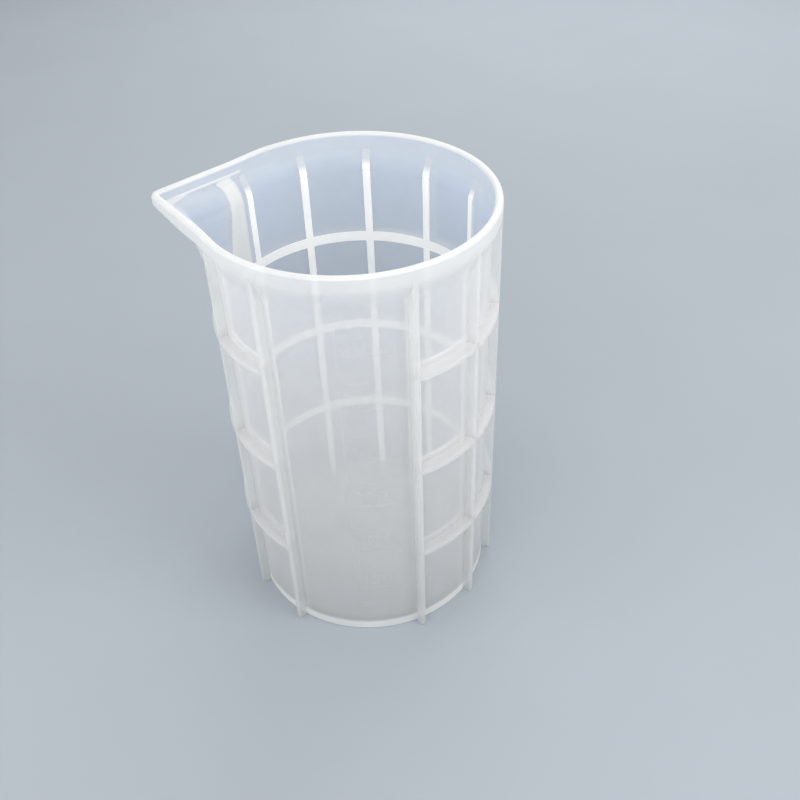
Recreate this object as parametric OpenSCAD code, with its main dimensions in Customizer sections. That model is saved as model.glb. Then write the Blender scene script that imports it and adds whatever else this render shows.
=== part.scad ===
// Cup for measuring and mixing resin, moulded in one piece of soft translucent silicone.
// Each moulded feature is its own solid: floor, wall, rim, spout, ribs, rings and scale.
// +Z is up and the origin is the centre of the underside. The spout points to -X,
// and the smooth panel with the scale faces -Y. Sizes are in millimetres.

/* [Cup] */
// Height of the cup, from the underside to the top of the rim
cup_h = 148; // [140:1:165]
// Outer radius of the plain wall
wall_r = 42; // [39:0.5:46]
// Thickness of the wall
wall_t = 1.8; // [1.4:0.1:2.2]
// Thickness of the floor
floor_t = 3; // [2:0.5:5]

/* [Rim] */
// Height of the upright band round the rim
rim_h = 5; // [4:0.5:8]
// Thickness of the band, seen from above
rim_t = 2.4; // [2.1:0.1:2.8]
// How far the band stands out from the plain wall
rim_out = 3; // [2.5:0.25:4]
// Height of the flare that carries the wall out to the band
flare_h = 6.25; // [5:0.25:8]
// Radius that rounds the band's two top edges
rim_round = 0.8; // [0.4:0.1:0.9]

/* [Spout] */
// How far the spout's tip stands out past the rim's circle
spout_out = 14; // [11:0.5:18]
// Outer radius of the rounded tip of the spout's band
tip_r = 3.4; // [3:0.1:4.5]
// How far inside the rim's circle the spout's straight flanks pass
flank_in = 0.4; // [0.2:0.1:0.8]

/* [Ribs] */
// Width of an upright rib
rib_w = 2; // [1.6:0.1:2.6]
// How far a rib stands out from the wall
rib_out = 3; // [2:0.25:3.5]
// Angle between neighbouring ribs
rib_step = 30; // [30]

/* [Rings] */
// Height between the ring lines, and from the underside to the first
ring_gap = 37; // [30:1:38]
// Height of a ring's outer edge
ring_h = 2.2; // [1.6:0.1:3]
// How far a ring stands out from the wall
ring_out = 3; // [2:0.25:3.5]
// How much higher a ring's top lies at the wall than at its outer edge
ring_slope = 0.8; // [0:0.1:1.2]

/* [Scale] */
// How far the lines and numbers stand out from the wall
mark_out = 0.35; // [0.2:0.05:0.5]
// Width of a line of the scale
line_w = 0.7; // [0.5:0.1:1]
// Width of a number's strokes
stroke_w = 0.8; // [0.6:0.1:1]
// Length of the line at each full hundred
tick_long = 15; // [12:1:17]
// Length of the line halfway between two hundreds
tick_short = 8; // [5:1:11]
// Height of a number
digit_h = 5.2; // [4:0.2:6]
// Width of one digit
digit_w = 3; // [2.4:0.2:3.4]
// Gap between two digits
digit_gap = 1; // [0.8:0.1:1.4]

/* [Hidden] */
$fn = 128;

// Cuts run this far past the solid they cut
past = 1;
// Flat steps that round the spout's ridge
nose_steps = 12;
silicone = "#dfe6ea";

// Wall, flare and band
inner_r = wall_r - wall_t;
rim_r = wall_r + rim_out;
band_z = cup_h - rim_h;
flare_z = band_z - flare_h;
flare_k = rim_out / flare_h;
lean = sqrt(1 + flare_k * flare_k);
flare_in_r = rim_r - wall_t * lean;
kink_z = band_z - (flare_in_r - inner_r) / flare_k;

// Spout, seen from above: two straight flanks that run to a round tip.
// flank_a is half the angle between them.
spout_reach = rim_r + spout_out;
flank_r = rim_r - flank_in;
tip_x = spout_reach - tip_r;
flank_a = asin((flank_r - tip_r) / tip_x);
// The flanks slope inward like the flare, so they meet on a leaning ridge
ridge_lean = atan(flare_k / sin(flank_a));
ridge_r = (flank_r - spout_reach * sin(flank_a)) / (lean - sin(flank_a) / cos(ridge_lean));
ridge_x = spout_reach - ridge_r / cos(ridge_lean);
ridge_len = (spout_reach - wall_r) / sin(ridge_lean) + wall_r;
ridge_a = asin((sin(flank_a) * cos(ridge_lean) + flare_k * sin(ridge_lean)) / lean);
// The spout's solids lie beyond this plane across the cup
spout_x = wall_r * sin(flank_a);
// Plane where the rim's band changes from the circle to the spout's flanks
join_r = rim_r - rim_t / 2;
join_x = -join_r * cos(90 + flank_a + acos((join_r - flank_in) / join_r));

// Ribs, counted from the right edge of the scale's panel round the back to its left edge.
// The spout takes the place of the one at 180 degrees and the panel that at 270.
panel_a = 270;
rib_turns = [for (a = [panel_a + rib_step : rib_step : panel_a + 360 - rib_step]) if (a % 360 != 180) a];
ring_arc = 360 - 2 * rib_step;

// Scale: fifty millilitres, in cubic millimetres, raise the level inside by tick_step.
// There are as many lines, and as many hundreds with a number above their line, as fit
// below the flare.
tick_volume = 50000;
tick_step = tick_volume / (PI * inner_r * inner_r);
number_z = line_w / 2 + stroke_w;
number_x = number_z;
tick_count = floor((flare_z - floor_t - line_w) / tick_step);
number_count = floor((flare_z - floor_t - number_z - digit_h) / (2 * tick_step));

// The space inside the wall's outer surface
module outer_space() {
    rotate_extrude()
        polygon([
            [0, -past], [wall_r, -past], [wall_r, flare_z],
            [rim_r, band_z], [rim_r, cup_h], [0, cup_h]
        ]);
}

// Outline of a wedge whose sides open at half angle a, with a round nose of radius r
module wedge_outline(r, a, l) {
    nose = [
        for (step = [0 : nose_steps])
            let (t = 90 + a + step * (180 - 2 * a) / nose_steps)
                [r * cos(t), r * sin(t)]
    ];
    far = [l * cos(a) - r * sin(a), l * sin(a) + r * cos(a)];
    polygon(concat([far], nose, [[far[0], -far[1]]]));
}

// Everything between the sloping flanks, with a round ridge of radius r
module flank_space(r) {
    translate([-ridge_x, 0, band_z])
        rotate([0, -ridge_lean, 0])
            translate([0, 0, -ridge_len])
                linear_extrude(ridge_len + rim_h)
                    wedge_outline(r, ridge_a, 2 * rim_r);
}

// Box beyond a plane across the cup on the spout's side, between two heights
module beyond(x, z_low, z_high) {
    translate([-x - spout_reach, -spout_reach, z_low])
        cube([spout_reach, 2 * spout_reach, z_high - z_low]);
}

module cup_floor() {
    color(silicone)
        cylinder(r = wall_r, h = floor_t);
}

module cup_wall() {
    color(silicone)
        difference() {
            rotate_extrude()
                polygon([
                    [inner_r, floor_t], [wall_r, floor_t], [wall_r, flare_z],
                    [rim_r, band_z], [flare_in_r, band_z], [inner_r, kink_z]
                ]);
            intersection() {
                flank_space(ridge_r - wall_t);
                beyond(spout_x, 0, cup_h);
            }
        }
}

// Section of the band with its outer face at x = 0, rounded at the top
module band_section() {
    translate([-rim_t, 0])
        square([rim_t, rim_h - rim_round]);
    translate([-rim_t + rim_round, 0])
        square([rim_t - 2 * rim_round, rim_h]);
    for (x = [-rim_round, rim_round - rim_t])
        translate([x, rim_h - rim_round])
            circle(rim_round);
}

module rim_band() {
    color(silicone)
        difference() {
            translate([0, 0, band_z])
                rotate_extrude()
                    translate([rim_r, 0])
                        band_section();
            beyond(join_x, band_z - past, cup_h + past);
        }
}

// Shell under the spout's band: two sloping flanks and the ridge between them
module spout_shell() {
    color(silicone)
        intersection() {
            difference() {
                flank_space(ridge_r);
                flank_space(ridge_r - wall_t);
                outer_space();
            }
            beyond(spout_x, 0, band_z);
        }
}

// The band's straight run on one flank of the spout. The front one is on the scale's side.
module spout_rim(front) {
    color(silicone)
        intersection() {
            mirror([0, front ? 1 : 0, 0])
                translate([-tip_x - tip_r * sin(flank_a), tip_r * cos(flank_a), band_z])
                    rotate([90, 0, 90 + flank_a])
                        linear_extrude(rim_r)
                            band_section();
            beyond(join_x, band_z, cup_h);
        }
}

// The band's round turn at the tip, between the two straight runs
module spout_tip() {
    color(silicone)
        translate([-tip_x, 0, band_z])
            rotate([0, 0, 90 + flank_a])
                rotate_extrude(angle = 180 - 2 * flank_a)
                    translate([tip_r, 0])
                        band_section();
}

// One rib at angle a, from the underside up to the flare or the spout's flank
module rib(a) {
    nose_r = rib_w / 2;
    color(silicone)
        difference() {
            rotate([0, 0, a])
                linear_extrude(band_z) {
                    translate([inner_r, -nose_r])
                        square([wall_t + rib_out - nose_r, rib_w]);
                    translate([wall_r + rib_out - nose_r, 0])
                        circle(nose_r);
                }
            outer_space();
            intersection() {
                flank_space(ridge_r);
                beyond(spout_x, 0, cup_h);
            }
        }
}

module rib_blanks() {
    for (a = rib_turns)
        rotate([0, 0, a])
            translate([inner_r, -rib_w / 2, 0])
                cube([wall_t + rib_out + past, rib_w, cup_h]);
}

// One ring line: arcs between the ribs, open across the scale's panel
module ring(number) {
    color(silicone)
        difference() {
            translate([0, 0, number * ring_gap])
                rotate([0, 0, panel_a + rib_step])
                    rotate_extrude(angle = ring_arc)
                        polygon([
                            [wall_r, -ring_h / 2], [wall_r + ring_out, -ring_h / 2],
                            [wall_r + ring_out, ring_h / 2], [wall_r, ring_h / 2 + ring_slope]
                        ]);
            rib_blanks();
            intersection() {
                flank_space(ridge_r);
                beyond(spout_x, 0, cup_h);
            }
        }
}

// Puts a flat drawing on the wall under the scale's panel, raised by the marks' height
module on_panel() {
    difference() {
        intersection() {
            rotate([90, 0, 0])
                linear_extrude(wall_r + rim_out)
                    children();
            cylinder(r = wall_r + mark_out, h = cup_h);
        }
        cylinder(r = wall_r, h = cup_h);
    }
}

module scale_line() {
    color(silicone)
        on_panel()
            translate([-line_w / 2, floor_t + tick_step - line_w / 2])
                square([line_w, (tick_count - 1) * tick_step + line_w]);
}

// Lines that run right from the upright one: long at each hundred, short halfway
module scale_ticks() {
    color(silicone)
        on_panel()
            for (tick = [1 : tick_count])
                translate([line_w / 2, floor_t + tick * tick_step - line_w / 2])
                    square([tick % 2 == 0 ? tick_long : tick_short, line_w]);
}

// Strokes of the digits 0 to 9: top, upper left, upper right, middle, lower left,
// lower right and bottom
strokes = [
    [1, 1, 1, 0, 1, 1, 1],
    [0, 0, 1, 0, 0, 1, 0],
    [1, 0, 1, 1, 1, 0, 1],
    [1, 0, 1, 1, 0, 1, 1],
    [0, 1, 1, 1, 0, 1, 0],
    [1, 1, 0, 1, 0, 1, 1],
    [1, 1, 0, 1, 1, 1, 1],
    [1, 0, 1, 0, 0, 1, 0],
    [1, 1, 1, 1, 1, 1, 1],
    [1, 1, 1, 1, 0, 1, 1]
];

module digit_shape(digit) {
    s = strokes[digit];
    half_h = (digit_h - stroke_w) / 2;
    for (row = [0 : 2])
        if (s[row * 3] == 1)
            translate([0, (2 - row) * half_h])
                square([digit_w, stroke_w]);
    for (row = [0 : 1], col = [0 : 1])
        if (s[1 + row * 3 + col] == 1)
            translate([col * (digit_w - stroke_w), (1 - row) * half_h])
                square([stroke_w, half_h + stroke_w]);
}

// The plain numbers 100, 200 and so on, each above its long line
module scale_numbers() {
    color(silicone)
        on_panel()
            for (hundred = [1 : number_count], place = [0 : 2])
                translate([
                    number_x + place * (digit_w + digit_gap),
                    floor_t + 2 * hundred * tick_step + number_z
                ])
                    digit_shape(place == 0 ? hundred : 0);
}

cup_floor();
cup_wall();
rim_band();
spout_shell();
spout_rim(false);  // spout_rim_back
spout_rim(true);  // spout_rim_front
spout_tip();
rib(rib_turns[0]);  // rib_1
rib(rib_turns[1]);  // rib_2
rib(rib_turns[2]);  // rib_3
rib(rib_turns[3]);  // rib_4
rib(rib_turns[4]);  // rib_5
rib(rib_turns[5]);  // rib_6
rib(rib_turns[6]);  // rib_7
rib(rib_turns[7]);  // rib_8
rib(rib_turns[8]);  // rib_9
rib(rib_turns[9]);  // rib_10
ring(1);  // ring_lower
ring(2);  // ring_middle
ring(3);  // ring_upper
scale_line();
scale_ticks();
scale_numbers();
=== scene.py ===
import math
from types import SimpleNamespace

import bmesh
import bpy
from mathutils import Matrix, Vector


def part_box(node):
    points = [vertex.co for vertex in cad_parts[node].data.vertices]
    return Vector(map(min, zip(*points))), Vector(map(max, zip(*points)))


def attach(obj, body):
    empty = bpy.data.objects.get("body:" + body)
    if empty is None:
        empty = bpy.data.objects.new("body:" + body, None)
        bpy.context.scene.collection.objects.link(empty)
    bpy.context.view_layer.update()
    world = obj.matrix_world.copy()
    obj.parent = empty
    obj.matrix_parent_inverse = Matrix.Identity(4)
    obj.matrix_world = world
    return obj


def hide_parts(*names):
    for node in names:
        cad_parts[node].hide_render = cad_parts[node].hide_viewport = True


bl_info = {
    "name": "Resin mixing cup",
    "version": (1, 0, 0),
    "blender": (4, 5, 0),
    "location": "3D View > Sidebar > Mixing cup",
    "description": "Models a soft silicone cup for mixing resin round its CAD frame",
    "category": "Add Mesh",
}

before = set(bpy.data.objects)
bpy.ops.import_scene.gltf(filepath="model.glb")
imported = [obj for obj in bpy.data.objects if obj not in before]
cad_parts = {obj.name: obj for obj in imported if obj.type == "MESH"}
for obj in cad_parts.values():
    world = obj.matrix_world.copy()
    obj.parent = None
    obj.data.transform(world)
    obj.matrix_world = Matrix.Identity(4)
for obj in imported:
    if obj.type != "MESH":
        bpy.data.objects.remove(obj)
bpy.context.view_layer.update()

MM = 0.001
BODY = "root"
SHELL_NODES = ["cup_floor", "cup_wall", "rim_band", "spout_shell",
               "spout_rim_back", "spout_rim_front", "spout_tip"]
RIB_NODES = sorted((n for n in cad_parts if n.startswith("rib_")), key=lambda n: int(n[4:]))
RING_NODES = ["ring_lower", "ring_middle", "ring_upper"]
SCALE_NODES = ["scale_line", "scale_ticks", "scale_numbers"]

# Columns of faces round the cup, one to a degree
COLUMNS = 360
# Height between the rings of points on the spout's walls, then between those on its band and bead
ROW = 1.25 * MM
FINE_ROW = 0.35 * MM
# The scale's root runs this far into the wall, so no faces coincide
SUNK = 0.4 * MM
# The moulding is thick right through under a rib or ring, so a root stands out this far inside
SHOW = 0.03 * MM
# Two lengths count as equal within this
CLOSE = 0.01 * MM
# Wavelengths of the silicone's clouds, of the mould's ripples, and of its grain, drawn wide to show
CLOUDS = 22 * MM
RIPPLES = 7 * MM
GRAIN = 1 * MM
# The photograph's view, from a fit to its rim, base, ribs and rings: from the front right, looking
# down about 40 degrees
CAMERA_PLACE = (40.32 * MM, -251.1 * MM, 280.23 * MM)
CAMERA_RIGHT = Vector((0.99597, 0.08465, -0.02979))
CAMERA_BACK = Vector((0.08415, -0.76568, 0.63769))


def length(name, about, default):
    """A length property, in metres."""
    return bpy.props.FloatProperty(
        name=name, description=about, default=default, min=0, precision=5, unit="LENGTH")


def degrees(name, about, default):
    """An angle property, written in degrees."""
    return bpy.props.FloatProperty(
        name=name, description=about, default=math.radians(default), min=0, unit="ROTATION")


def power(name, about, default):
    """A lamp's power, in watts."""
    return bpy.props.FloatProperty(
        name=name, description=about, default=default, min=0, subtype="POWER", unit="POWER")


def share(name, about, default):
    """A property from 0 to 1."""
    return bpy.props.FloatProperty(
        name=name, description=about, default=default, min=0, max=1, subtype="FACTOR")


def linear(hex_colour):
    """An sRGB hex colour as linear red, green, blue and 1."""
    parts = [int(hex_colour[i:i + 2], 16) / 255 for i in (1, 3, 5)]
    return tuple(c / 12.92 if c <= 0.04045 else ((c + 0.055) / 1.055) ** 2.4 for c in parts) + (1,)


def colour(name, about, hex_colour):
    """A colour property, written as sRGB hex."""
    return bpy.props.FloatVectorProperty(
        name=name, description=about, default=linear(hex_colour)[:3], size=3, min=0, max=1,
        subtype="COLOR")


class CupSizes(bpy.types.PropertyGroup):
    """Sizes of the round cup. Those that the frame holds take their defaults from it."""
    wall_r: length("Wall radius", "Outer radius of the plain wall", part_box("cup_floor")[1].x)
    wall_t: length("Wall", "Thickness of the wall", 1.8 * MM)
    floor_t: length("Floor", "Thickness of the floor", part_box("cup_floor")[1].z)
    rim_r: length("Rim radius", "Outer radius of the band round the rim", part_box("rim_band")[1].x)
    rim_t: length("Band", "Thickness of the band, seen from above", 2.4 * MM)
    band_z: length("Band's height", "Height of the band's lower edge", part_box("rim_band")[0].z)
    cup_h: length("Height", "Height of the rim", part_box("rim_band")[1].z)
    flare_h: length("Flare", "Height of the flare under the band", 6.25 * MM)
    rim_round: length("Rim's edges", "Width of the rounding on the rim's edges", 0.95 * MM)
    band_round: length("Band's edge", "Width of the rounding on the band's lower edge", 1.2 * MM)
    flare_round: length("Flare's foot", "Width of the rounding under the flare", 2.4 * MM)
    inner_band_round: length("Inner band", "Width of the inner rounding under the band", 0.8 * MM)
    inner_flare_round: length("Inner flare", "Width of the inner rounding under the flare", 2 * MM)
    foot_round: length("Foot's edge", "Width of the rounding on the underside's edge", 0.6 * MM)
    floor_round: length("Inner corner", "Width of the rounding between floor and wall", 1.8 * MM)


class SpoutSizes(bpy.types.PropertyGroup):
    """Sizes of the spout. Angles are from its direction."""
    reach: length("Reach", "Distance from the axis to the spout's tip", -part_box("spout_tip")[0].x)
    depth: length("Depth", "Depth under the rim at which the spout starts", 42 * MM)
    tip_r: length("Tip", "Radius of the spout's round tip", 3.4 * MM)
    inner_tip_r: length("Inner tip", "Least radius of the tip's inner face", 0.8 * MM)
    flank_in: length("Flank", "How far inside the rim's circle the flanks pass", 0.4 * MM)
    flank_blend: length("Blend", "Softness of the crease between flank and wall", 1.6 * MM)
    flank_end: degrees("Flank's end", "Angle past which the spout changes nothing", 75)
    hollow: length("Hollow", "How far the flanks draw in at once under the band", 5.3 * MM)
    hollow_h: length("Hollow's height", "Height over which most of that happens", 1.6 * MM)
    flank_slope: share("Flank's slope", "How far they draw in further, for each length down", 0.2)
    lip_rise: length("Lip", "How much higher the band's lower edge lies at the tip", 2 * MM)
    lip_end: degrees("Lip's end", "Angle at which that rise ends", 18)
    bead_z: length("Bead", "Height of the bead inside the spout's band", 144.6 * MM)
    bead_out: length("Bead's size", "How far that bead stands out", 0.6 * MM)
    bead_h: length("Bead's height", "Half the bead's height", 0.7 * MM)
    bead_end: degrees("Bead's end", "Angle at which the bead ends", 33)
    bead_fade: degrees("Bead's fade", "Angle over which it ends", 4)
    seam_near: degrees("Seam", "Angle of the thick stripe's edge beside the flank", 18.5)
    seam_far: degrees("Seam's far edge", "Angle of its edge beside the next rib", 26.5)
    seam_turn: degrees("Seam's lean", "How far the first edge turns in each mm down", 0.41)
    seam_drop: length("Seam's length", "How far down the stripe runs from the band", 31 * MM)
    near_soft: degrees("Near softness", "Softness of the edge beside the flank", 1.2)
    far_soft: degrees("Far softness", "Softness of the edge beside the rib", 2)
    top_soft: length("Top softness", "Softness of the stripe's upper end", 2 * MM)
    low_soft: length("Lower softness", "Softness of the stripe's lower end", 3 * MM)


class RibSizes(bpy.types.PropertyGroup):
    """Sizes of the ribs and ring lines."""
    rib_w: length("Rib", "Width of a rib", 2 * MM)
    rib_top: length("Rib's top", "Height at which a rib ends in the band", 143.2 * MM)
    nose_round: length("Rib's nose", "Width of the rounding on a rib's nose", 0.7 * MM)
    knee: length("Rib's knee", "How far from the wall a rib starts to spread", 0.6 * MM)
    rib_soft: length("Rib's edges", "Width of the rounding on a rib's knee and lower end", 0.3 * MM)
    spread: bpy.props.FloatProperty(
        name="Rib's spread", description="How many times wider than its knee a rib's root is",
        default=1.25, min=1)
    ring_h: length("Ring", "Height of a ring's outer edge", 2.2 * MM)
    ring_in: length("Ring's edge", "How far a ring's outer edge lies inside the ribs'", 0.08 * MM)
    ring_slope: length("Ring's slope", "How much higher a ring's top lies at the wall", 0.8 * MM)
    ring_knee: length("Ring's knee", "How far from the wall a ring starts to spread", 0.5 * MM)
    ring_spread: length("Ring's spread", "How much higher and lower its root then runs", 0.3 * MM)
    ring_round: length("Ring's nose", "Width of the rounding on a ring's edge", 0.35 * MM)
    sunk_end: length("Ring's end", "Distance from a rib's middle to the ring's end in it", 0.7 * MM)


class SiliconeLook(bpy.types.PropertyGroup):
    """Colour and density of the silicone."""
    body: colour("Silicone", "Colour of the wall's outer face under the rim", "#F2F1F0")
    # Painted shade: the inner faces are coloured darker and bluer than the outer ones
    inner: colour("Silicone inside", "Colour of the wall's inner face under the rim", "#D5E1F3")
    # Painted shade: the wall's colour turns darker and greyer towards the foot
    foot: colour("Silicone at the foot", "Colour of the plain wall at the foot", "#C3C4C5")
    thick: colour("Thick silicone", "Colour where the silicone is thick: rim, ribs, rings", "#F9F8F4")
    wall_density: share("Wall density", "How much one face of the wall hides under the rim", 0.29)
    foot_density: share("Foot density", "How much one face of the wall hides at the foot", 0.42)
    rim_density: share("Rim density", "How much one face of the band hides", 0.7)
    rib_density: share("Rib density", "How much one face of a rib or ring hides", 0.4)
    root_density: share("Root density", "How much a rib's or ring's root hides, from inside", 0.92)
    # Painted glow: light given off by the roots themselves, for light that comes through the rib
    root_painted_glow: share("Root glow", "Light that comes through such a root", 0.2)
    mark_density: share("Mark density", "How much one face of the scale hides", 0.03)
    roughness: share("Roughness", "Roughness of the moulded surface", 0.42)


class StudioLook(bpy.types.PropertyGroup):
    """Floor, backdrop, lamps and camera."""
    floor: colour("Floor", "Colour of the floor and backdrop", "#ACB3BA")
    radius: length("Floor's radius", "Distance to the backdrop's foot", 1.6)
    cove: length("Cove", "Radius of the curve between floor and backdrop", 0.5)
    height: length("Backdrop", "Height of the backdrop", 1.4)
    glow: share("Glow", "Light of the backdrop itself, away from the lamps", 0.6)
    glow_z: length("Glow's height", "Height at which that glow is full", 0.3)
    lens: bpy.props.FloatProperty(
        name="Lens", description="Focal length of the camera, in millimetres", default=43.288)
    sky: bpy.props.FloatProperty(
        name="Sky", description="Strength of the even light from all round", default=0.82, min=0)
    key: power("Key", "Power of the large lamp in front of the cup", 2.6)
    left: power("Left", "Power of the lamp on the left", 1.1)
    right: power("Right", "Power of the lamp on the right", 2.5)
    back: power("Back", "Power of the lamp behind the cup", 2.5)


# Tools for modelling

def deselect():
    """Leaves edit mode, with nothing selected."""
    if bpy.context.mode != "OBJECT":
        bpy.ops.object.mode_set(mode="OBJECT")
    bpy.ops.object.select_all(action="DESELECT")


def begin(name):
    """Names the primitive that was just added and opens it in edit mode."""
    obj = bpy.context.object
    obj.name = obj.data.name = name
    bpy.ops.object.mode_set(mode="EDIT")
    return obj


def pick(obj, kind, *tests):
    """In edit mode, selects the verts or edges whose points all pass one of the tests."""
    bpy.ops.mesh.select_mode(type={"verts": "VERT", "edges": "EDGE"}[kind])
    bpy.ops.mesh.select_all(action="DESELECT")
    bm = bmesh.from_edit_mesh(obj.data)
    found = False
    for item in getattr(bm, kind):
        points = [item] if kind == "verts" else item.verts
        if any(all(test(v.co) for v in points) for test in tests):
            item.select_set(True)
            found = True
    if not found:
        raise RuntimeError(f"{obj.name}: none of its {kind} lies where it should")
    bm.select_flush_mode()
    bmesh.update_edit_mesh(obj.data)


def pick_pair(obj, x):
    """Selects the two long edges at a distance x from the axis, one on each side."""
    pick(obj, "edges", lambda p: near(p.x, x) and p.y > 0, lambda p: near(p.x, x) and p.y < 0)


def cut(place, normal):
    """Cuts all of the mesh with a plane, which leaves a loop of edges."""
    bpy.ops.mesh.select_all(action="SELECT")
    bpy.ops.mesh.bisect(plane_co=place, plane_no=normal)


def radius_of(p):
    """Distance from the cup's axis."""
    return math.hypot(p.x, p.y)


def near(a, b):
    return abs(a - b) < CLOSE


def bevel_ring(obj, r, z, width, segments):
    """Rounds the loop of edges that lies at one radius and height."""
    pick(obj, "edges", lambda p: near(radius_of(p), r) and near(p.z, z))
    bpy.ops.mesh.bevel(offset=width, segments=segments, affect="EDGES")


def extrude_ring(start, end):
    """Extrudes the selected round loop from one (radius, height) to the next."""
    bpy.ops.mesh.extrude_region_move(
        TRANSFORM_OT_translate={"value": (0, 0, end[1] - start[1])})
    k = end[0] / start[0]
    bpy.ops.transform.resize(value=(k, k, 1), center_override=(0, 0, end[1]))


def finish_piece(angle=40):
    """Welds the open mesh, turns its faces outward, leaves edit mode, puts the origin at the
    frame's, and smooths edges under an angle in degrees."""
    bpy.ops.mesh.select_mode(type="VERT")
    bpy.ops.mesh.select_all(action="SELECT")
    bpy.ops.mesh.remove_doubles(threshold=0.001 * MM)
    bpy.ops.mesh.normals_make_consistent(inside=False)
    bpy.ops.object.mode_set(mode="OBJECT")
    apply_place()
    bpy.ops.object.shade_smooth_by_angle(angle=math.radians(angle))


def copy_piece(obj, name):
    """A copy of a piece, with its own mesh, left selected and active."""
    deselect()
    obj.select_set(True)
    bpy.context.view_layer.objects.active = obj
    bpy.ops.object.duplicate(linked=False)
    made = bpy.context.object
    made.name = made.data.name = name
    return made


def turn(angle):
    """Turns what is selected about the cup's axis, anticlockwise seen from above."""
    bpy.ops.transform.rotate(
        value=-angle, orient_axis="Z", center_override=(0, 0, 0))


def apply_place():
    """Puts the selected piece's origin at the frame's, unturned and unscaled."""
    bpy.ops.object.transform_apply(location=True, rotation=True, scale=True)


def hand_over(obj, slot, material, *nodes):
    """Lets a piece ride on the cup's body in place of its CAD nodes."""
    obj.data.materials.clear()
    obj.data.materials.append(material)
    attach(obj, BODY)
    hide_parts(*nodes)


# The moulding

def clamp(value):
    """The value, held between 0 and 1."""
    return max(0, min(1, value))


def flare_slope(size):
    """How far the flare spreads for each length up."""
    return (size.rim_r - size.wall_r) / size.flare_h


def inner_foot(size):
    """Height at which the flare's inner face leaves the wall's."""
    slope = flare_slope(size)
    lean = math.sqrt(1 + slope ** 2)
    return size.band_z - (size.rim_r - size.wall_t * lean - size.wall_r + size.wall_t) / slope


def inner_top(size):
    """Height at which the flare's inner face meets the band's."""
    spread = size.rim_r - size.rim_t - size.wall_r + size.wall_t
    return inner_foot(size) + spread / flare_slope(size)


def flank_angle(size, spout):
    """Half the angle between the spout's flanks, seen from above."""
    return math.asin((size.rim_r - spout.flank_in - spout.tip_r) / (spout.reach - spout.tip_r))


def outline(off, round_r, flank, nose, angle, blend):
    """Distance from the axis to the cup's outline at one height. off is the direction's angle
    from the spout's, round_r the radius of the round part, flank the distance from the axis to
    the spout's flanks, nose the radius of its tip, and angle half that between the flanks."""
    foot = math.pi / 2 - angle
    centre = (flank - nose) / math.sin(angle)
    touch = math.atan2(nose * math.sin(foot), centre + nose * math.cos(foot))
    if off < touch:
        reach = centre * math.cos(off) + math.sqrt(nose ** 2 - (centre * math.sin(off)) ** 2)
    elif off < foot:
        reach = flank / math.cos(off - foot)
    else:
        # Beyond its foot a flank bends away inside the wall
        reach = flank * (2 - 1 / math.cos(off - foot))
    overlap = max(blend - abs(round_r - reach), 0)
    return max(round_r, reach) + overlap ** 2 / (4 * blend)


def flank_drop(depth, spout):
    """How far the flanks have drawn in at a depth under the band: fast at first, then slowly,
    which gives the spout its hollow underside."""
    return spout.hollow * (1 - math.exp(-depth / spout.hollow_h)) + spout.flank_slope * depth


def seam_share(off, z, top, size, spout):
    """1 on the thick silicone between a flank of the spout and the next rib, under the height
    top, and 0 away from it. Its edge beside the flank turns towards the spout downwards, as the
    flank draws in."""
    edge = spout.seam_near - spout.seam_turn * (size.band_z - z) / MM
    across = min(0.5 + (off - edge) / spout.near_soft, (spout.seam_far - off) / spout.far_soft)
    low = size.band_z - spout.seam_drop
    along = min((z - low) / spout.low_soft, (top - z) / spout.top_soft)
    return clamp(across) * clamp(along)


def bead_share(off, z, spout):
    """1 on the middle of the small bead inside the spout's band, and 0 away from it."""
    along = clamp((spout.bead_end - off) / spout.bead_fade)
    return along * max(0, 1 - ((z - spout.bead_z) / spout.bead_h) ** 2)


def draw_out_spout(obj, size, spout):
    """Moves the points of the round shell out to the spout's outline, and marks where the
    silicone is thick. No operator draws a shape that is straight in plan, hollow below and round
    at the tip, so it is done in code."""
    slope = flare_slope(size)
    angle = flank_angle(size, spout)
    middle = size.wall_r - size.wall_t / 2
    flare_foot, flare_foot_in = size.band_z - size.flare_h, inner_foot(size)
    bm = bmesh.from_edit_mesh(obj.data)
    seam = bm.verts.layers.float.new("seam")
    for v in bm.verts:
        r, z = radius_of(v.co), v.co.z
        off = abs(math.pi - math.atan2(v.co.y, v.co.x) % (2 * math.pi))
        # The floor, the far side and the lower two thirds keep their shape
        on_floor = r < size.wall_r - 2 * size.wall_t
        if on_floor or off > spout.flank_end or z < size.band_z * 2 / 3:
            continue
        depth = max(0, size.band_z - z)
        foot = flare_foot if r > middle else flare_foot_in
        # How far the point lies inside the cup's outer face
        inset = size.rim_r - slope * depth - r + slope * max(0, foot - z)
        inside = inset > size.wall_t / 2
        lip_z = size.band_z + spout.lip_rise * max(0, 1 - off / spout.lip_end)
        drop = flank_drop(max(0, lip_z - z), spout)
        flank = size.rim_r - spout.flank_in - drop - inset
        # Inside, the thick stripe runs on up to the bead
        top = spout.bead_z + spout.bead_out if inside else size.band_z
        v[seam] = seam_share(off, z, top, size, spout)
        if inside:
            bead = bead_share(off, z, spout)
            flank -= spout.bead_out * bead
            v[seam] = max(v[seam], bead)
        nose = max(spout.tip_r - inset, spout.inner_tip_r)
        # The crease is sharper inside
        blend = spout.flank_blend if r > middle else spout.flank_blend / 3
        reach = outline(off, r, flank, nose, angle, blend)
        v.co.x *= reach / r
        v.co.y *= reach / r
    bmesh.update_edit_mesh(obj.data)


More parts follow.
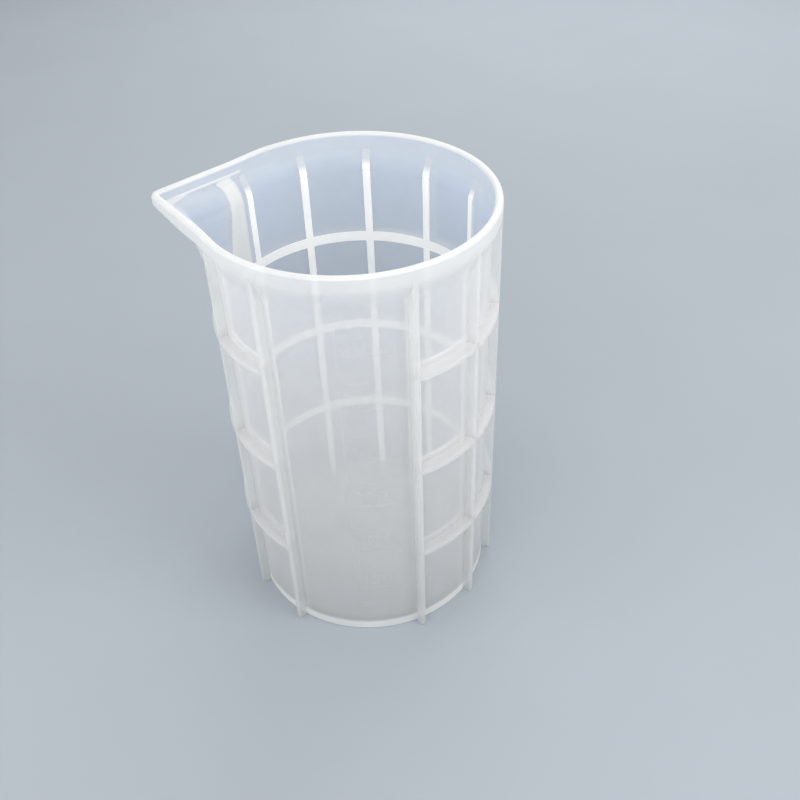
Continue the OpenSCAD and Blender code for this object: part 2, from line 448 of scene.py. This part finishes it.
class MIXING_CUP_OT_shell(bpy.types.Operator):
    """Moulds the cup itself: floor, wall, flare, band and spout, in one skin"""
    bl_idname = "mixing_cup.shell"
    bl_label = "Mould the cup"

    def execute(self, context):
        size, spout = context.scene.cup_sizes, context.scene.spout_sizes
        inner_r = size.wall_r - size.wall_t
        band_in = size.rim_r - size.rim_t
        # The round cup's section: radius, height, and the width and segments of its rounding
        corners = [
            (size.wall_r, 0, size.foot_round, 3),
            (size.wall_r, size.band_z - size.flare_h, size.flare_round, 4),
            (size.rim_r, size.band_z, size.band_round, 3),
            (size.rim_r, size.cup_h, size.rim_round, 4),
            (band_in, size.cup_h, size.rim_round, 4),
            (band_in, inner_top(size), size.inner_band_round, 3),
            (inner_r, inner_foot(size), size.inner_flare_round, 4),
            (inner_r, size.floor_t, size.floor_round, 4),
        ]
        deselect()
        bpy.ops.mesh.primitive_circle_add(
            vertices=COLUMNS, radius=size.wall_r, fill_type="TRIFAN")
        obj = begin("cup_shell")
        pick(obj, "edges", lambda p: radius_of(p) > inner_r)
        for start, end in zip(corners, corners[1:]):
            extrude_ring(start, end)
        bpy.ops.mesh.extrude_region_move()
        bpy.ops.mesh.merge(type="CENTER")
        for r, z, width, segments in corners:
            bevel_ring(obj, r, z, width, segments)
        # Rings of points for the spout, finer near the bead, up to the rounding of the rim
        z = size.cup_h - spout.depth
        while z < size.cup_h - 1.5 * MM:
            cut((0, 0, z), (0, 0, 1))
            z += ROW if z < spout.bead_z - 2 * MM else FINE_ROW
        draw_out_spout(obj, size, spout)
        finish_piece()
        hand_over(obj, "silicone_wall", silicone_wall(context), *SHELL_NODES)
        return {"FINISHED"}


def azimuth(name):
    """Direction of a CAD node from the cup's axis."""
    low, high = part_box(name)
    return math.atan2(low.y + high.y, low.x + high.x)


class MIXING_CUP_OT_ribs(bpy.types.Operator):
    """Moulds one upright rib with a soft root and copies it round the cup"""
    bl_idname = "mixing_cup.ribs"
    bl_label = "Mould the ribs"

    def execute(self, context):
        size, ribs = context.scene.cup_sizes, context.scene.rib_sizes
        material = silicone_ribs(context)
        inner, outer = size.wall_r - size.wall_t - SHOW, size.rim_r
        knee = size.wall_r + ribs.knee
        deselect()
        bpy.ops.mesh.primitive_cube_add(
            size=1, location=((inner + outer) / 2, 0, ribs.rib_top / 2),
            scale=(outer - inner, ribs.rib_w, ribs.rib_top))
        apply_place()
        obj = begin("rib_blank")
        # Round nose
        pick_pair(obj, outer)
        bpy.ops.mesh.bevel(offset=ribs.nose_round, segments=4, affect="EDGES")
        # Foot that spreads into the wall, with a soft corner
        cut((knee, 0, 0), (1, 0, 0))
        pick(obj, "verts", lambda p: near(p.x, inner))
        bpy.ops.transform.resize(value=(1, ribs.spread, 1), center_override=(inner, 0, 0))
        pick_pair(obj, knee)
        bpy.ops.mesh.bevel(offset=ribs.rib_soft, segments=3, affect="EDGES")
        # Above the wall the root follows the inner face of the flare, with its soft corners, and
        # goes under in the band: heights, and how far out the root lies there
        foot, top = inner_foot(size), inner_top(size)
        root = {foot - size.inner_flare_round: 0.0, foot: 0.18 * MM,
                foot + size.inner_flare_round: 0.92 * MM,
                top - size.inner_band_round: 1.98 * MM, top + size.inner_band_round: 2.5 * MM}
        for z in root:
            cut((0, 0, z), (0, 0, 1))
        root[ribs.rib_top] = root[top + size.inner_band_round]
        for z, lift in root.items():
            k = (outer - inner - lift) / (outer - inner)
            pick(obj, "verts", lambda p: near(p.z, z))
            bpy.ops.transform.resize(value=(k, 1, 1), center_override=(outer, 0, z))
        # Soft lower end
        pick(obj, "edges", lambda p: near(p.z, 0) and p.x > knee)
        bpy.ops.mesh.bevel(offset=ribs.rib_soft, segments=2, affect="EDGES")
        finish_piece(50)
        for name in RIB_NODES:
            rib = copy_piece(obj, name + "_soft")
            turn(azimuth(name))
            apply_place()
            hand_over(rib, "silicone_ribs", material, name)
        bpy.data.objects.remove(obj)
        return {"FINISHED"}


def ring_arcs(ribs, wall_r):
    """Start and sweep of each arc of a ring line, which runs from rib to rib but not over the
    smooth panel at the front."""
    angles = sorted(azimuth(name) % (2 * math.pi) for name in RIB_NODES)
    panel = next(i for i, (a, b) in enumerate(zip(angles, angles[1:]))
                 if a < 1.5 * math.pi < b)
    angles = angles[panel + 1:] + [a + 2 * math.pi for a in angles[:panel + 1]]
    sunk = ribs.sunk_end / wall_r
    return [(a + sunk, b - a - 2 * sunk) for a, b in zip(angles, angles[1:])]


class MIXING_CUP_OT_rings(bpy.types.Operator):
    """Spins the arcs of one ring line between the ribs and copies it to the three heights"""
    bl_idname = "mixing_cup.rings"
    bl_label = "Mould the ring lines"

    def execute(self, context):
        size, ribs = context.scene.cup_sizes, context.scene.rib_sizes
        material = silicone_ribs(context)
        inner, outer = size.wall_r - size.wall_t - SHOW, size.rim_r - ribs.ring_in
        knee = size.wall_r + ribs.ring_knee
        blank = None
        for start, sweep in ring_arcs(ribs, size.wall_r):
            deselect()
            bpy.ops.mesh.primitive_plane_add(
                size=1, location=((inner + outer) / 2, 0, 0), rotation=(math.pi / 2, 0, 0))
            obj = begin("ring_arc")
            bpy.ops.transform.resize(value=(outer - inner, 1, ribs.ring_h))
            bpy.ops.object.mode_set(mode="OBJECT")
            apply_place()
            bpy.ops.object.mode_set(mode="EDIT")
            pick(obj, "verts", lambda p: near(p.x, inner) and p.z > 0)
            bpy.ops.transform.translate(value=(0, 0, ribs.ring_slope))
            # Root that spreads into the wall
            cut((knee, 0, 0), (1, 0, 0))
            pick(obj, "verts", lambda p: near(p.x, inner) and p.z > 0)
            bpy.ops.transform.translate(value=(0, 0, ribs.ring_spread))
            pick(obj, "verts", lambda p: near(p.x, inner) and p.z < 0)
            bpy.ops.transform.translate(value=(0, 0, -ribs.ring_spread))
            pick(obj, "verts", lambda p: near(p.x, outer))
            bpy.ops.mesh.bevel(offset=ribs.ring_round, segments=2, affect="VERTICES")
            bpy.ops.mesh.select_all(action="SELECT")
            turn(start)
            # A step each 1.5 degrees
            bpy.ops.mesh.spin(
                steps=max(2, round(math.degrees(sweep) / 1.5)), angle=sweep,
                center=(0, 0, 0), axis=(0, 0, -1), use_auto_merge=False)
            finish_piece(30)
            if blank is None:
                blank = obj
                continue
            deselect()
            obj.select_set(True)
            blank.select_set(True)
            context.view_layer.objects.active = blank
            bpy.ops.object.join()
        for name in RING_NODES:
            ring = copy_piece(blank, name + "_soft")
            bpy.ops.transform.translate(value=(0, 0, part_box(name)[0].z + ribs.ring_h / 2))
            apply_place()
            hand_over(ring, "silicone_ribs", material, name)
        bpy.data.objects.remove(blank)
        return {"FINISHED"}


class MIXING_CUP_OT_scale(bpy.types.Operator):
    """Raises the faint scale, from its solids, with roots sunk in the wall"""
    bl_idname = "mixing_cup.scale"
    bl_label = "Raise the scale"

    def execute(self, context):
        size = context.scene.cup_sizes
        material = silicone_scale(context)
        for name in SCALE_NODES:
            made = copy_piece(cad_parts[name], name + "_soft")
            # The copy starts without the CAD node's own ties to the frame
            for key in [k for k in made.keys() if k.startswith("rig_")]:
                del made[key]
            made.parent = None
            bpy.ops.object.mode_set(mode="EDIT")
            bpy.ops.mesh.select_all(action="SELECT")
            bpy.ops.mesh.remove_doubles(threshold=0.002 * MM)
            pick(made, "verts", lambda p: radius_of(p) < size.wall_r + 0.05 * MM)
            k = 1 - SUNK / size.wall_r
            bpy.ops.transform.resize(value=(k, k, 1), center_override=(0, 0, 0))
            finish_piece(30)
            hand_over(made, "silicone_scale", material, name)
        return {"FINISHED"}


# Materials

def node(tree, kind, inputs=None, **settings):
    """Adds a node. inputs gives a value, or another node's output, for each input named."""
    made = tree.nodes.new(kind)
    for name, value in settings.items():
        setattr(made, name, value)
    for name, value in (inputs or {}).items():
        if isinstance(value, bpy.types.NodeSocket):
            tree.links.new(value, made.inputs[name])
        else:
            made.inputs[name].default_value = value
    return made


def ramp(tree, value, low, high, start=0.0, end=1.0, kind="LINEAR"):
    """A value that runs from start to end while another runs from low to high."""
    return node(tree, "ShaderNodeMapRange", {
        "Value": value, "From Min": low, "From Max": high, "To Min": start, "To Max": end},
        interpolation_type=kind).outputs["Result"]


def combine(tree, operation, first, second):
    """One value made from two."""
    return node(tree, "ShaderNodeMath", {0: first, 1: second}, operation=operation).outputs[0]


def noise(tree, place, wavelength, detail):
    """Soft noise with waves of about one length."""
    return node(tree, "ShaderNodeTexNoise", {
        "Vector": place, "Scale": 1 / wavelength, "Detail": detail}).outputs["Fac"]


def mix(tree, share_of_second, first, second):
    """A colour between two."""
    return node(tree, "ShaderNodeMix", {0: share_of_second, "A": first, "B": second},
                data_type="RGBA").outputs["Result"]


def new_material(name):
    """An empty node material, and its node tree."""
    material = bpy.data.materials.new(name)
    material.use_nodes = True
    material.node_tree.nodes.clear()
    return material, material.node_tree


def silicone_places(tree, size):
    """Where a point of the silicone lies: its place, height and distance from the axis, down,
    which is 0 under the rim and 1 at the foot, and inside, 1 on faces that look at the axis."""
    coordinates = node(tree, "ShaderNodeTexCoord").outputs
    place = coordinates["Object"]
    height = node(tree, "ShaderNodeSeparateXYZ", {"Vector": place}).outputs["Z"]
    flat = node(tree, "ShaderNodeVectorMath", {0: place, 1: (1, 1, 0)},
                operation="MULTIPLY").outputs["Vector"]
    radius = node(tree, "ShaderNodeVectorMath", {0: flat}, operation="LENGTH").outputs["Value"]
    outward = node(tree, "ShaderNodeVectorMath", {0: flat, 1: coordinates["Normal"]},
                   operation="DOT_PRODUCT").outputs["Value"]
    return SimpleNamespace(
        place=place, height=height, radius=radius, down=ramp(tree, height, size.band_z, 0.0),
        inside=ramp(tree, outward, 10 * MM, -10 * MM))


def wall_cover(tree, at, size, look, density):
    """How thick the cup's own silicone is, from 0 on the plain wall to 1 on the rim, how much a face
    of it hides, and the strength of its painted glow, which is none."""
    # The band, less seen from inside, then the rim's rounded edge, and the floor's corner
    band = ramp(tree, at.height, size.band_z - size.flare_h, size.band_z + 1 * MM, end=0.5,
                kind="SMOOTHSTEP")
    band = combine(tree, "MULTIPLY", band, ramp(tree, at.inside, 0.0, 1.0, 1.0, 0.6))
    edge = ramp(tree, at.height, size.cup_h - 1.4 * MM, size.cup_h - 0.3 * MM,
                kind="SMOOTHSTEP")
    foot = ramp(tree, at.height, size.floor_t + 2 * MM, size.floor_t, end=0.8,
                kind="SMOOTHSTEP")
    # The stripes beside the spout's flanks, and the bead in its band
    seam = node(tree, "ShaderNodeAttribute", attribute_name="seam").outputs["Fac"]
    thick = ramp(tree, seam, 0.0, 1.0, kind="SMOOTHSTEP")
    for part in (band, edge, foot):
        thick = combine(tree, "MAXIMUM", thick, part)
    plain = ramp(tree, at.down, 0.0, 1.0, density, look.foot_density)
    return thick, ramp(tree, thick, 0.0, 1.0, plain, look.rim_density), 0.0


def root_cover(tree, at, size, look, density):
    """The same for ribs, ring lines and the scale. A root seen from inside the cup has the whole rib
    behind it, and the light that comes through it from the rib's lit side is painted on it as a glow."""
    # 1 on a root in the wall, and 0 outside the wall
    root = ramp(tree, at.radius, size.wall_r - 0.6 * MM, size.wall_r - size.wall_t + 0.3 * MM)
    # Painted shade: ribs and rings are whiter at the top and turn towards the wall's darker colour at
    # the foot
    thick = combine(tree, "MAXIMUM", ramp(tree, at.down, 0.0, 1.0, 0.9, 0.4), root)
    hides = ramp(tree, root, 0.0, 1.0, density, look.root_density)
    # Painted glow: a root gives off light of its own
    return thick, hides, ramp(tree, root, 0.0, 1.0, end=look.root_painted_glow)


def moulded_silicone(context, name, cover, density, glancing):
    """Platinum-cured silicone, injection moulded: milky, satin and soft. It hides a little of
    what lies behind it, more at a glancing view and where it is thick."""
    look, size = context.scene.silicone_look, context.scene.cup_sizes
    material, tree = new_material(name)
    at = silicone_places(tree, size)
    thick, hides, glow = cover(tree, at, size, look, density)
    # Clouds of slightly denser silicone
    clouds = noise(tree, at.place, CLOUDS, 3.0)
    hides = combine(tree, "MULTIPLY", hides, ramp(tree, clouds, 0.3, 0.7, 0.88, 1.14))
    # Seen at a glance a face hides more: 1 - (1 - what it hides) * (1 - share * glance)
    facing = node(tree, "ShaderNodeLayerWeight", {"Blend": 0.5}).outputs["Facing"]
    glance = combine(tree, "POWER", facing, 1.3)
    passes = node(tree, "ShaderNodeMath", {0: glance, 1: -glancing, 2: 1.0},
                  operation="MULTIPLY_ADD").outputs[0]
    shows = combine(tree, "MULTIPLY", combine(tree, "SUBTRACT", 1.0, hides), passes)
    alpha = node(tree, "ShaderNodeMath", {0: 1.0, 1: shows}, operation="SUBTRACT",
                 use_clamp=True).outputs[0]
    # Painted shade: the inner faces, which look at the axis, are painted darker and a little bluer,
    # for the light that reaches them through the wall
    wall = mix(tree, at.inside, (*look.body, 1), (*look.inner, 1))
    # Painted shade: the foot is greyer and darker
    wall = mix(tree, at.down, wall, (*look.foot, 1))
    pale = mix(tree, thick, wall, (*look.thick, 1))
    # Ripples of the mould, and its fine grain on them
    wave = node(tree, "ShaderNodeBump", {
        "Height": noise(tree, at.place, RIPPLES, 1.0), "Strength": 0.6,
        "Distance": 0.12 * MM}).outputs["Normal"]
    skin = node(tree, "ShaderNodeBump", {
        "Height": noise(tree, at.place, GRAIN, 2.0), "Normal": wave, "Strength": 0.5,
        "Distance": 0.02 * MM}).outputs["Normal"]
    rough = ramp(tree, clouds, 0.3, 0.7, look.roughness - 0.06, look.roughness + 0.08)
    # The emission is a painted glow, on the roots of ribs, rings and scale marks only
    body = node(tree, "ShaderNodeBsdfPrincipled", {
        "Base Color": pale, "Roughness": rough, "Alpha": alpha, "Normal": skin, "IOR": 1.41,
        "Subsurface Weight": 0.15, "Subsurface Radius": (1.0, 1.0, 1.0),
        "Subsurface Scale": 4 * MM, "Sheen Weight": 0.15, "Sheen Roughness": 0.5,
        "Emission Color": pale, "Emission Strength": glow})
    node(tree, "ShaderNodeOutputMaterial", {"Surface": body.outputs["BSDF"]})
    return material


def silicone_wall(context):
    """Silicone of the cup's own skin, with its thick rim."""
    density = context.scene.silicone_look.wall_density
    return moulded_silicone(context, "moulded_silicone_wall", wall_cover, density, 0.9)


def silicone_ribs(context):
    """Silicone of the ribs and ring lines, which share one material."""
    found = bpy.data.materials.get("moulded_silicone_ribs")
    density = context.scene.silicone_look.rib_density
    return found or moulded_silicone(
        context, "moulded_silicone_ribs", root_cover, density, 0.4)


def silicone_scale(context):
    """Silicone of the faint scale, which hardly hides what lies behind it."""
    density = context.scene.silicone_look.mark_density
    return moulded_silicone(context, "moulded_silicone_scale", root_cover, density, 0.1)


def painted_board(context):
    """Sheet of matt board, painted: an even colour with a soft mottle."""
    look = context.scene.studio_look
    material, tree = new_material("painted_board")
    place = node(tree, "ShaderNodeTexCoord").outputs["Object"]
    mottle = ramp(tree, noise(tree, place, 90 * MM, 2.0), 0.0, 1.0, 0.97, 1.03)
    paint = node(tree, "ShaderNodeVectorMath", {0: look.floor, 1: mottle},
                 operation="MULTIPLY").outputs["Vector"]
    # The backdrop is far from the lamps, so it glows a little to whoever looks at it
    height = node(tree, "ShaderNodeSeparateXYZ", {"Vector": place}).outputs["Z"]
    rise = ramp(tree, height, 0.0, look.glow_z, end=look.glow)
    rays = node(tree, "ShaderNodeLightPath").outputs
    looked = rays["Is Camera Ray"]
    for other in ("Is Glossy Ray", "Is Transmission Ray"):
        looked = combine(tree, "MAXIMUM", looked, rays[other])
    body = node(tree, "ShaderNodeBsdfPrincipled", {
        "Base Color": paint, "Roughness": 0.9, "Specular IOR Level": 0.2,
        "Emission Color": paint, "Emission Strength": combine(tree, "MULTIPLY", rise, looked)})
    node(tree, "ShaderNodeOutputMaterial", {"Surface": body.outputs["BSDF"]})
    return material


# The studio

def softbox(name, place, width, watts):
    """A large area lamp, 0.4 m high, that points at the cup's middle."""
    deselect()
    bpy.ops.object.light_add(type="AREA", location=place)
    lamp = bpy.context.object
    lamp.name = name
    lamp.data.shape = "RECTANGLE"
    lamp.data.size = width
    lamp.data.size_y = 0.4
    lamp.data.energy = watts
    aim = Vector((0, 0, 75 * MM)) - Vector(place)
    lamp.rotation_euler = aim.to_track_quat("-Z", "Y").to_euler()


class MIXING_CUP_OT_studio(bpy.types.Operator):
    """Makes the floor, the backdrop, the lamps and the camera"""
    bl_idname = "mixing_cup.studio"
    bl_label = "Set up the studio"

    def execute(self, context):
        look = context.scene.studio_look
        deselect()
        # A hair under the cup's foot, so that the two faces don't coincide
        bpy.ops.mesh.primitive_circle_add(
            vertices=96, radius=look.radius, fill_type="TRIFAN", location=(0, 0, -0.05 * MM))
        floor = begin("studio_floor")
        pick(floor, "edges", lambda p: radius_of(p) > look.radius / 2)
        # The cove is a quarter circle
        ring = (look.radius, 0)
        steps = 8
        for step in range(1, steps + 1):
            a = step / steps * math.pi / 2
            here = (look.radius + look.cove * math.sin(a), look.cove * (1 - math.cos(a)))
            extrude_ring(ring, here)
            ring = here
        extrude_ring(ring, (ring[0], look.height))
        bpy.ops.mesh.select_all(action="SELECT")
        bpy.ops.mesh.normals_make_consistent(inside=True)
        bpy.ops.object.mode_set(mode="OBJECT")
        bpy.ops.object.shade_smooth()
        floor.data.materials.append(painted_board(context))

        softbox("key_softbox", (-0.12, -0.7, 0.35), 0.8, look.key)
        softbox("left_softbox", (-0.65, -0.25, 0.32), 0.5, look.left)
        softbox("right_softbox", (0.65, -0.25, 0.4), 0.5, look.right)
        softbox("back_softbox", (0.15, 0.75, 0.45), 0.8, look.back)

        world = bpy.data.worlds.new("even_sky")
        context.scene.world = world
        world.use_nodes = True
        world.node_tree.nodes.clear()
        sky = node(world.node_tree, "ShaderNodeBackground", {
            "Color": linear("#FFFFFF"), "Strength": look.sky})
        node(world.node_tree, "ShaderNodeOutputWorld", {"Surface": sky.outputs[0]})

        deselect()
        bpy.ops.object.camera_add(location=CAMERA_PLACE)
        camera = context.object
        camera.name = "photo_camera"
        right, back = CAMERA_RIGHT.normalized(), CAMERA_BACK.normalized()
        up = back.cross(right)
        camera.rotation_euler = Matrix((right, up, back)).transposed().to_euler()
        camera.data.sensor_width = 36
        camera.data.lens = look.lens
        camera.data.clip_start = 0.01
        camera.data.clip_end = 20
        context.scene.camera = camera
        context.scene.view_settings.view_transform = "Standard"
        # A ray passes up to a dozen faces of silicone
        context.scene.cycles.transparent_max_bounces = 16
        return {"FINISHED"}


class MIXING_CUP_PT_panel(bpy.types.Panel):
    """Lists the cup's pieces, sizes and colours"""
    bl_label = "Mixing cup"
    bl_idname = "MIXING_CUP_PT_panel"
    bl_space_type = "VIEW_3D"
    bl_region_type = "UI"
    bl_category = "Mixing cup"

    def draw(self, context):
        for operator in OPERATORS:
            self.layout.operator(operator.bl_idname)
        for kind in GROUPS:
            group = getattr(context.scene, kind)
            box = self.layout.box()
            for name in group.__annotations__:
                box.prop(group, name)


GROUPS = {"cup_sizes": CupSizes, "spout_sizes": SpoutSizes, "rib_sizes": RibSizes,
          "silicone_look": SiliconeLook, "studio_look": StudioLook}
OPERATORS = [MIXING_CUP_OT_studio, MIXING_CUP_OT_shell, MIXING_CUP_OT_ribs,
             MIXING_CUP_OT_rings, MIXING_CUP_OT_scale]


def register():
    for group in GROUPS.values():
        bpy.utils.register_class(group)
    for name, group in GROUPS.items():
        setattr(bpy.types.Scene, name, bpy.props.PointerProperty(type=group))
    for operator in OPERATORS:
        bpy.utils.register_class(operator)
    bpy.utils.register_class(MIXING_CUP_PT_panel)


def unregister():
    bpy.utils.unregister_class(MIXING_CUP_PT_panel)
    for operator in reversed(OPERATORS):
        bpy.utils.unregister_class(operator)
    for name in GROUPS:
        delattr(bpy.types.Scene, name)
    for group in GROUPS.values():
        bpy.utils.unregister_class(group)


def main():
    register()
    bpy.ops.mixing_cup.studio()
    bpy.ops.mixing_cup.shell()
    bpy.ops.mixing_cup.ribs()
    bpy.ops.mixing_cup.rings()
    bpy.ops.mixing_cup.scale()


if __name__ == "__main__":
    main()
